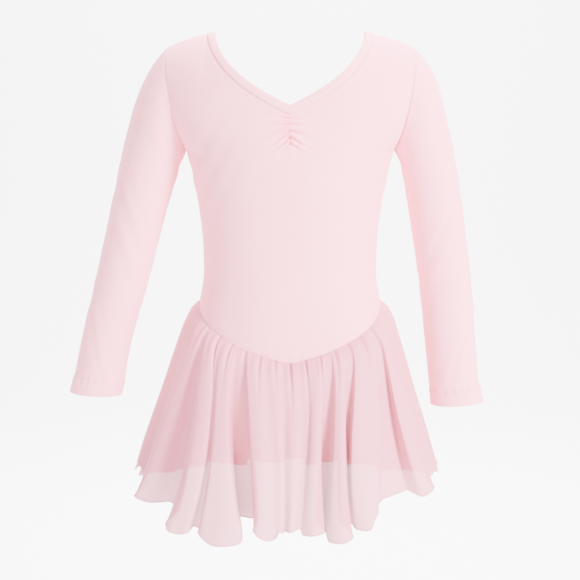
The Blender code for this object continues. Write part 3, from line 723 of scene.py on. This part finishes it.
def make_sleeve(name, sections, side):
    """A tube from the armhole to the turned-in edge of the cuff. Each ring is an oval between
    the outer and inner points; the armhole's bow fades as the sleeve goes down."""
    angles = np.concatenate([ARM_ANGLES, -ARM_ANGLES[-2::-1]])
    cosine, sine = np.cos(np.radians(angles)), np.sin(np.radians(angles))
    rows = np.stack(list(sections.values()), axis=1)
    centres = (rows[:, :2] + rows[:, 2:4]) / 2
    along = np.concatenate([[0], np.cumsum(np.linalg.norm(np.diff(centres, axis=0), axis=1))])
    length = along[-1]
    at = length * np.linspace(0, 1, SLEEVE_ROWS + 1) ** 1.1
    ox, oz, ix, iz, centre_y, depth = (smooth(at, along, c)[:, None] for c in rows.T)
    half = np.stack([ox - ix, oz - iz], axis=-1) / 2
    up = unit(half)
    lean = ARMHOLE_BOW * bell(at[:, None], BOW_FADE) * np.abs(sine)
    x = (ox + ix) / 2 + half[..., 0] * cosine + up[..., 1] * lean
    z = (oz + iz) / 2 + half[..., 1] * cosine - up[..., 0] * lean
    y = centre_y - depth * sine
    points = np.stack(np.broadcast_arrays(x, y, z), axis=-1)
    normal = grid_normals(points)
    normal[:, 0] = normal[:, -1] = unit(normal[:, 0] + normal[:, -1])
    middle = points.mean(axis=1, keepdims=True)
    normal *= np.sign(np.sum(normal * (points - middle), axis=-1, keepdims=True))
    distance = run_lengths(points, 0)
    to_cuff = distance[-1:] - distance
    folds = sleeve_folds(distance, angles[None, :], length, side)
    hem = CUFF_RELIEF * (1 - ramp(to_cuff, CUFF_HEM - 1.0, CUFF_HEM + 0.6))
    stitched = sum(bell(to_cuff - CUFF_HEM + row, 0.7) for row in CUFF_THREAD_ROWS)
    round_cuff = run_lengths(points, 1)
    pucker = CUFF_PUCKER * np.sin(round_cuff / 1.7 + 1.5 * np.sin(round_cuff / 9))
    pucker = pucker * bell(to_cuff - CUFF_HEM + 1.0, 5)
    move = folds * ramp(distance, 0, 8) * ramp(to_cuff, 4, 34)
    move = move + hem - 0.3 * stitched + pucker
    move = move - SEAM_SINK * (1 - ramp(distance, 0, SEAM_SOFT))
    points = points + normal * move[..., None]
    # The line of the cuff's stitches joins the seam distance, so the cloth is darkened along it
    # with painted shade.
    thread_line = np.abs(to_cuff - CUFF_HEM - 0.2) * 0.5 + 0.12
    seam = np.minimum(distance, np.where(to_cuff < 60, thread_line, FAR))
    inside = points[-1:] - normal[-1:] * CUFF_TURN["depth"][:, None, None]
    rises = CUFF_TURN["rise"][:, None, None]
    axis = unit(points[-8].mean(axis=0) - points[-1].mean(axis=0))
    inside = inside + axis * rises
    full = np.concatenate([points, inside]) * [side, 1, 1]
    around = run_lengths(points, 1)
    around = np.concatenate([around, np.repeat(around[-1:], len(rises), axis=0)])
    down = np.concatenate([distance, distance[-1:] + np.abs(rises[..., 0]) + 0.5])
    seam = np.concatenate([seam, np.full((len(rises), len(angles)), FAR)])
    index = grid_numbers(full)
    index[:, -1] = index[:, 0]
    uv = np.stack([around, down], axis=-1)
    sleeve = make_mesh(name, full, grid_faces(index, side > 0), uv, jersey, seam)
    rings = []
    for back in CUFF_THREAD_ROWS[::-1]:
        row = int(np.argmin(np.abs(to_cuff.mean(axis=1) - CUFF_HEM + back)))
        lift = normal[row] * 0.15
        rings.append(((points[row] + lift) * [side, 1, 1], normal[row] * [side, 1, 1]))
    return sleeve, rings


sleeve_right, right_rings = make_sleeve("right_sleeve_cloth", RIGHT_SLEEVE, -1.0)
sleeve_left, left_rings = make_sleeve("left_sleeve_cloth", LEFT_SLEEVE, 1.0)
for sleeve, node in ((sleeve_right, "sleeve_right"), (sleeve_left, "sleeve_left")):
    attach(sleeve, "root")
    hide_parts(node)

# %% [markdown]
# ## Neck binding
#
# A strip of jersey is folded over the raw neck edge and sewn down, so its section is a flat
# loop: out over the front, round the free edge and back inside. The two front bands are cut
# off at the centre line, where they meet in a mitre.


# %% Neck binding
BAND_SECTION = table("share height", [
    (0.02, -0.5),
    (0, 0.25),
    (0.06, 0.8),
    (0.2, 1.05),
    (0.45, 1.15),
    (0.7, 1.05),
    (0.88, 0.75),
    (0.97, 0.3),
    (1, -0.25),
    (0.97, -0.8),
    (0.85, -1.2),
    (0.5, -1.35),
    (0.1, -1.3),
])


def band_points(face, rows):
    """Grid of half the neck's binding: rows along the neck from the centre to the shoulder,
    columns round the folded strip, with faint puckers from its stitches."""
    t = even_neck(face, rows)
    seam_x, seam_z = neck_line(face, t)
    edge_x, edge_z = neck_line(face, t, at_edge=True)
    share, height = BAND_SECTION["share"][None, :], BAND_SECTION["height"][None, :]
    x = seam_x[:, None] + (edge_x - seam_x)[:, None] * share
    z = seam_z[:, None] + (edge_z - seam_z)[:, None] * share
    base = surface(x, z, face)
    base[-1, :, 1] = 0.0
    normal = outward(base, face)
    if face == "front":
        normal[0, :, 0] = 0.0
    along = run_lengths(surface(seam_x, seam_z, face), 0)[:, None]
    waves = np.sin(along / 0.9) * 0.07 + np.sin(along / 7.3) * 0.12
    shape = height + waves * (1 - np.abs(2 * share - 1)) * np.sign(height)
    points = base + normal * shape[..., None]
    width = run_lengths(points, 1)
    uv = np.stack([along + width * 0, width], axis=-1)
    seam = width
    if face == "front":
        seam = np.minimum(seam, along + 0.25)
        points[0, :, 0] = 0.0
    return points, uv, seam


def make_band(name, face, sides, rows):
    """A band on one side of the centre line, or on both sides in one mesh."""
    points, uv, seam = band_points(face, rows)
    index = grid_numbers(points)
    faces = []
    for number, side in enumerate(sides):
        numbers = index + number * index.size
        numbers[0] = index[0] if number else numbers[0]
        faces.append(grid_faces(numbers, (side > 0) == (face == "front")))
    points = np.stack([points * [side, 1, 1] for side in sides])
    uv = np.stack([uv * [side, 1] for side in sides])
    seam = np.stack([seam for side in sides])
    return make_mesh(name, points, np.concatenate(faces)[:, ::-1], uv, binding_cloth, seam)


band_left = make_band("left_neck_binding_cloth", "front", (1.0,), 130)
band_right = make_band("right_neck_binding_cloth", "front", (-1.0,), 130)
band_back = make_band("back_neck_binding_cloth", "back", (-1.0, 1.0), 190)
for band, node in (
    (band_left, "neck_binding_left"),
    (band_right, "neck_binding_right"),
    (band_back, "neck_binding_back"),
):
    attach(band, "root")
    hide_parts(node)
    flat_size(band)

# %% [markdown]
# ## Skirt
#
# The skirt's large folds are a table: each ridge and each valley has its place at the seam,
# halfway down and at the hem. A sine wave round the hem would be quicker, but real folds lean
# and overhang. Between the rows of the table a smooth curve is drawn in plan, so an edge may
# fold over its neighbour. The small gathers at the seam melt into the folds, and the hem
# flutters.


# %% Skirt formulas
MEAN_DROP, RIDGE_EDGE = 210, 0.75
TUCK_DEPTH, SMALL_FOLDS, HEM_FLUTTER, HEM_CURL = 10, 0.6, 0.9, 2


def waist_seam(angle):
    """The waist seam at an angle from the centre front: low in front, high at the sides."""
    sine = np.sin(np.radians(angle))
    in_front = np.cos(np.radians(angle)) > 1e-9
    climb = np.minimum(np.abs(angle / 90) ** WAIST_POINT, 1)
    front_z = WAIST_FRONT_Z + (WAIST_SIDE_Z - WAIST_FRONT_Z) * climb
    back_z = WAIST_BACK_Z + (WAIST_SIDE_Z - WAIST_BACK_Z) * sine**2
    front = surface(WAIST_X * sine, front_z, "front")
    back = surface(WAIST_X * sine, back_z, "back")
    return np.where(in_front[..., None], front, back)


def fold_keys():
    """Angle at the seam, halfway and at the hem, depth and drop at five key points of each
    fold: its ridge's start, crown and end, and its valley's start and end."""
    keys = []
    following = np.append(FOLDS["seam_ridge"][1:], FOLDS["seam_ridge"][0] + 360)
    for row in zip(*FOLDS.values(), following):
        start, end, mid_a, mid_b, mid_c, mid_d, hem_a, hem_b, hem_c, hem_d = row[:10]
        ridge, valley, ridge_drop, valley_drop, after = row[10:]
        edge_drop = 0.7 * ridge_drop + 0.3 * valley_drop
        width, room = end - start, after - end
        crown = ridge + RIDGE_CROWN
        keys += [
            (start, mid_a, hem_a, ridge * RIDGE_EDGE, edge_drop),
            (start + 0.5 * width, (mid_a + mid_b) / 2, (hem_a + hem_b) / 2, crown, ridge_drop),
            (end, mid_b, hem_b, ridge * RIDGE_EDGE, edge_drop),
            (end + 0.30 * room, mid_c, hem_c, valley, valley_drop),
            (end + 0.70 * room, mid_d, hem_d, valley, valley_drop),
        ]
    return np.array(keys)


def cloth_columns(count):
    """The five values of the keys for each column of cloth. The spacing is halfway between
    even steps along the seam and along the hem; the first column is the right side seam, and
    the second value is the number of the left one."""
    keys = fold_keys()
    turn = np.radians(keys[:, 2])
    x = (WAIST_X + SKIRT_PUFF + SIDE_FLARE * MEAN_DROP + keys[:, 3]) * np.sin(turn)
    y = (WAIST_DEEP + SKIRT_PUFF + FRONT_FLARE * MEAN_DROP + keys[:, 3]) * np.cos(turn)
    x, y = np.append(x, x[0]), np.append(y, y[0])
    along = np.concatenate([[0], np.cumsum(np.hypot(np.diff(x), np.diff(y)))])
    around = along[-1]
    turn = [360, 360, 360, 0, 0]
    values = np.vstack([keys - turn, keys, keys + turn])
    wide = np.concatenate([along[:-1] - around, along[:-1], along[:-1] + around])
    right, left = (np.interp(side, values[:, 0], wide) for side in (-90, 90))
    share = values[:, 0] / 360 + wide / around
    right_share, left_share = (np.interp(side, wide, share) for side in (right, left))
    in_front = round(count * (left_share - right_share) / 2)
    front = np.linspace(right_share, left_share, in_front + 1)
    back = np.linspace(left_share, right_share + 2, count - in_front + 1)
    stations = np.interp(np.concatenate([front, back[1:-1]]), share, wide)
    columns = np.stack([smooth(stations, wide, v) for v in values.T], axis=1)
    columns[0, 0], columns[in_front, 0] = -90.0, 90.0
    return columns, in_front


def skirt_points(columns, level):
    """Points of the skirt at one level, from the waist seam at 0 to the hem at 1. Angle and
    fold depth are quadratics through their seam, halfway and hem values; the cone stands out
    by a short puff and a steady flare."""
    seam_deg, mid_deg, hem_deg, out, drop = columns.T
    angle = seam_deg + (4 * mid_deg - hem_deg - 3 * seam_deg) * level
    angle = angle + (2 * hem_deg + 2 * seam_deg - 4 * mid_deg) * level**2
    depth = out * ((4 * MID_SHARE - 1) * level + (2 - 4 * MID_SHARE) * level**2)
    length = drop * level
    puff = SKIRT_PUFF * (1 - np.exp(-length / SKIRT_PUFF_DROP))
    fade = np.clip(1 - level / GATHER_FADE, 0, 1) ** 1.5
    swell = 0.35 + 0.65 * min(level / 0.05, 1)
    turn, start = np.radians(angle), np.radians(seam_deg)
    uneven = 0.75 + 0.25 * np.sin(5 * start + 1.0)
    gather = np.cos(start * GATHERS) * uneven + 0.3 * np.cos(start * GATHERS * 2 + 1.3)
    gather = GATHER_HEIGHT * fade**2.4 * swell * gather
    tuck = np.cos(start * GATHERS + 1.2 * np.sin(start * 3)).clip(0) ** 6
    reach = 15 + 8 * np.sin(start * 11 + 0.6) * np.sin(start * 4 + 2)
    tuck = tuck * (0.75 + 0.25 * np.sin(start * 7 + 2)) * np.exp(-length / reach)
    gather = gather - TUCK_DEPTH * tuck * (0.6 + 0.4 * min(level / 0.04, 1))
    small = np.sin(start * 23 + 2 * np.sin(start * 7)) * SMALL_FOLDS
    small = small * np.sin(level * math.pi) ** 2
    hem = np.radians(hem_deg)
    flutter = HEM_FLUTTER * np.sin(hem * 47 + 1.5 * np.sin(hem * 9)) * level**6
    curl = HEM_CURL * np.sin(hem * 21 + 2.0 * np.sin(hem * 5 + 1)) * level**14
    flutter = flutter + curl
    seam = waist_seam(seam_deg)
    drift_x = WAIST_X * (np.sin(turn) - np.sin(start))
    drift_y = -WAIST_DEEP * (np.cos(turn) - np.cos(start))
    shared = puff + depth + gather + small + flutter
    x = seam[:, 0] + drift_x + (shared + SIDE_FLARE * length) * np.sin(turn)
    y = seam[:, 1] + drift_y - (shared + FRONT_FLARE * length) * np.cos(turn)
    z = seam[:, 2] - length * (1 - 0.3 * np.exp(-length / SKIRT_PUFF_DROP))
    return np.stack([x, y, z + 0.35 * flutter * level], axis=-1)


SKIRT_COLUMNS, SKIRT_ROWS = 1240, 66
columns, left_seam = cloth_columns(SKIRT_COLUMNS)
levels = np.linspace(0, 1, SKIRT_ROWS + 1) ** 1.15
skirt = np.array([skirt_points(columns, level) for level in levels])
print("skirt grid", skirt.shape, "left seam at column", left_seam)

# %% Skirt sheets and rolled hem
HEM_RADIUS, HEM_SIDES = 0.75, 6


def make_skirt(name, chosen):
    """One panel of the skirt, from the chosen columns of the whole grid."""
    points = skirt[:, chosen]
    down = run_lengths(points, 0)
    around = run_lengths(points[-1:], 1)
    uv = np.stack([around + down * 0, down], axis=-1)
    to_side = run_lengths(points, 1)
    to_side = np.minimum(to_side, to_side[:, -1:] - to_side)
    seam = np.minimum(down + 0.8, to_side + 0.35)
    faces = grid_faces(grid_numbers(points))[:, ::-1]
    return make_mesh(name, points, faces, uv, chiffon, seam)


def make_hem(name, path):
    """The rolled edge: a thin round tube along the hem, a little uneven in thickness."""
    tangent = unit(np.gradient(path, axis=0))
    across = unit(np.cross(tangent, [0, 0, 1]))
    up = np.cross(across, tangent)
    turn = np.linspace(0, 2 * math.pi, HEM_SIDES + 1)[None, :, None]
    along = run_lengths(path, 0)
    thick = HEM_RADIUS * (1 + 0.12 * np.sin(along / 1.3))[:, None, None]
    points = path[:, None] + thick * (across[:, None] * np.cos(turn) + up[:, None] * np.sin(turn))
    index = grid_numbers(points)
    index[:, -1] = index[:, 0]
    uv = np.stack(np.broadcast_arrays(along[:, None], turn[..., 0] * HEM_RADIUS), axis=-1)
    return make_mesh(name, points, grid_faces(index), uv, hem_cloth)


front_columns = np.arange(0, left_seam + 1)
back_columns = np.append(np.arange(left_seam, SKIRT_COLUMNS), 0)
skirt_front = make_skirt("front_skirt_cloth", front_columns)
skirt_back = make_skirt("back_skirt_cloth", back_columns)
hem_front = make_hem("front_rolled_hem", skirt[-1, front_columns])
hem_back = make_hem("back_rolled_hem", skirt[-1, back_columns])
for panel, hem, node in (
    (skirt_front, hem_front, "skirt_front"),
    (skirt_back, hem_back, "skirt_back"),
):
    for piece in (panel, hem):
        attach(piece, "root")
    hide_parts(node)

# %% [markdown]
# ## Stitches
#
# The cuffs are turned up with two rows of straight stitches, and the neck binding is sewn down
# along its seam. A painted dashed line would vanish in a close view, so each stitch is a small
# padded shape, and a whole row is one mesh.


# %% Stitches
STITCH = table("along across lift", [
    (-0.5, 0, 0),
    (-0.3, -0.5, 0.3),
    (-0.3, 0.5, 0.3),
    (0.3, -0.5, 0.3),
    (0.3, 0.5, 0.3),
    (0.5, 0, 0),
    (0, 0, 1),
])
STITCH_FACES = np.array([(0, 1, 6), (0, 6, 2), (1, 3, 6), (2, 6, 4), (3, 5, 6), (6, 5, 4)])
NECK_ROW_SHARE, NECK_ROW_LIFT = 0.17, 1.0


def stitch_row(name, path, normals, pitch=2.9, long=2.1, wide=0.55, high=0.35):
    """Stitches along a path on the cloth: every pitch millimetres, one padded shape."""
    along = run_lengths(path, 0)
    count = int(along[-1] / pitch)
    at = (np.arange(count) + 0.5) * along[-1] / count

    def between(values):
        return np.stack([np.interp(at, along, column) for column in values.T], axis=1)

    place, normal = between(path), unit(between(normals))
    tangent = unit(between(np.gradient(path, axis=0)))
    across = np.cross(normal, tangent)
    parts = [
        STITCH["along"][:, None] * long * tangent[:, None],
        STITCH["across"][:, None] * wide * across[:, None],
        STITCH["lift"][:, None] * high * normal[:, None],
    ]
    points = place[:, None] + sum(parts)
    start = np.arange(count)[:, None, None] * len(STITCH["along"])
    faces = (start + STITCH_FACES).reshape(-1, 3)
    uv = np.stack([STITCH["along"] * long, STITCH["across"] * wide], axis=1)
    row = make_mesh(name, points, faces, np.tile(uv, (count, 1)), thread)
    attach(row, "root")
    return row


cuff_rows = {
    label: [stitch_row(f"{label}_cuff_stitches_{n}", *ring) for n, ring in enumerate(rings)]
    for label, rings in (("left", left_rings), ("right", right_rings))
}


def neck_stitches(name, face, side):
    """One row on the binding, 1.6 mm from its seam."""
    t = even_neck(face, 200)
    (sx, sz), (ex, ez) = neck_line(face, t), neck_line(face, t, at_edge=True)
    share = NECK_ROW_SHARE
    path = surface(sx + (ex - sx) * share, sz + (ez - sz) * share, face)
    normal = outward(path, face)
    path = path + normal * NECK_ROW_LIFT
    turn = [side, 1, 1]
    return stitch_row(name, path * turn, normal * turn, pitch=2.6, long=1.9, wide=0.5)


neck_rows = [
    neck_stitches(f"{name}_neck_stitches", face, side)
    for name, face, side in (
        ("left", "front", 1.0),
        ("right", "front", -1.0),
        ("left_back", "back", 1.0),
        ("right_back", "back", -1.0),
    )
]
print("rows of stitches", sum(map(len, cuff_rows.values())) + len(neck_rows))

# %% [markdown]
# ## What each sheet was cut from
#
# The flat size of each piece is its size before it was sewn: the whole way round a sleeve, and
# the whole ungathered width of a skirt panel. The UV maps lay the sheets out at that size.


# %% Flat sizes
for cloth, held, sewn_on in (
    (sleeve_left, "stretched", cuff_rows["left"]),
    (sleeve_right, "stretched", cuff_rows["right"]),
    (skirt_front, "gathered", [hem_front]),
    (skirt_back, "gathered", [hem_back]),
):
    flat, area = flat_size(cloth), area_of(cloth)
    print(cloth.name, "flat size", flat)

# %% [markdown]
# ## Room, light and camera
#
# A large pale floor lies well below the dress, which hangs from its shoulders. The main light
# is large and stands in front on the right; a weaker one fills the left, one from behind shines
# through the chiffon, and one brightens the backdrop. The camera stands two metres in front, a
# little below the shoulders, and looks slightly down.


# %% Room, light and camera
def add_floor(height, front=-6.0, back=2.4, radius=1.5, side=7.0, top=6.0):
    """A pale floor that curves up into a backdrop behind the dress."""
    material = bpy.data.materials.new("pale_floor")
    material.use_nodes = True
    shader = material.node_tree.nodes["Principled BSDF"]
    shader.inputs["Base Color"].default_value = (0.93, 0.93, 0.93, 1.0)
    shader.inputs["Roughness"].default_value = 0.9
    turn = np.linspace(0, math.pi / 2, 13)
    y = np.concatenate([[front], back + radius * np.sin(turn), [back + radius]])
    z = np.concatenate([[0.0], radius * (1 - np.cos(turn)), [top]]) + height
    x = np.array([-side, side])
    points = np.stack(np.broadcast_arrays(x[None, :], y[:, None], z[:, None]), axis=-1)
    faces = grid_faces(grid_numbers(points))
    mesh = bpy.data.meshes.new("floor")
    mesh.from_pydata(points.reshape(-1, 3).tolist(), [], faces.tolist())
    mesh.materials.append(material)
    mesh.shade_smooth()
    add_object("floor", mesh)


def aim(obj, place, target):
    """Stand a light or the camera at a place and turn it towards a target."""
    obj.location = place
    obj.rotation_euler = (Vector(target) - Vector(place)).to_track_quat("-Z", "Y").to_euler()


def add_light(name, place, target, size, power, colour=(1.0, 1.0, 1.0)):
    """A square area light that looks at a point."""
    light = bpy.data.lights.new(name, "AREA")
    light.shape, light.size, light.energy, light.color = "SQUARE", size, power, colour
    aim(add_object(name, light), place, target)


add_floor(-1.0)
add_light("main_light", (2.0, -1.8, 1.1), (0.0, 0.0, -0.3), 0.8, 560.0)
add_light("fill_light", (-1.2, -2.4, 0.2), (0.0, 0.0, -0.3), 1.8, 85.0, (1.0, 0.97, 0.98))
add_light("back_light", (0.3, 1.9, 1.4), (0.0, 0.0, -0.2), 1.4, 80.0)
add_light("backdrop_light", (0.0, 1.0, 1.7), (0.0, 3.2, -0.8), 2.4, 600.0)
world = bpy.data.worlds.new("pale_room")
world.use_nodes = True
background = world.node_tree.nodes["Background"]
background.inputs["Color"].default_value = (1.0, 1.0, 1.0, 1.0)
background.inputs["Strength"].default_value = 1.1
bpy.context.scene.world = world

EYE, TARGET = Vector((0.0, -2.0, -0.05)), Vector((0.0, 0.0, -0.324))
VIEW_WIDTH, SENSOR = 0.725, 36.0
camera = bpy.data.cameras.new("camera")
camera.sensor_width = SENSOR
camera.lens = SENSOR * (TARGET - EYE).length / VIEW_WIDTH
bpy.context.scene.camera = add_object("camera", camera)
aim(bpy.context.scene.camera, EYE, TARGET)
print("lens", round(camera.lens, 1), "mm")
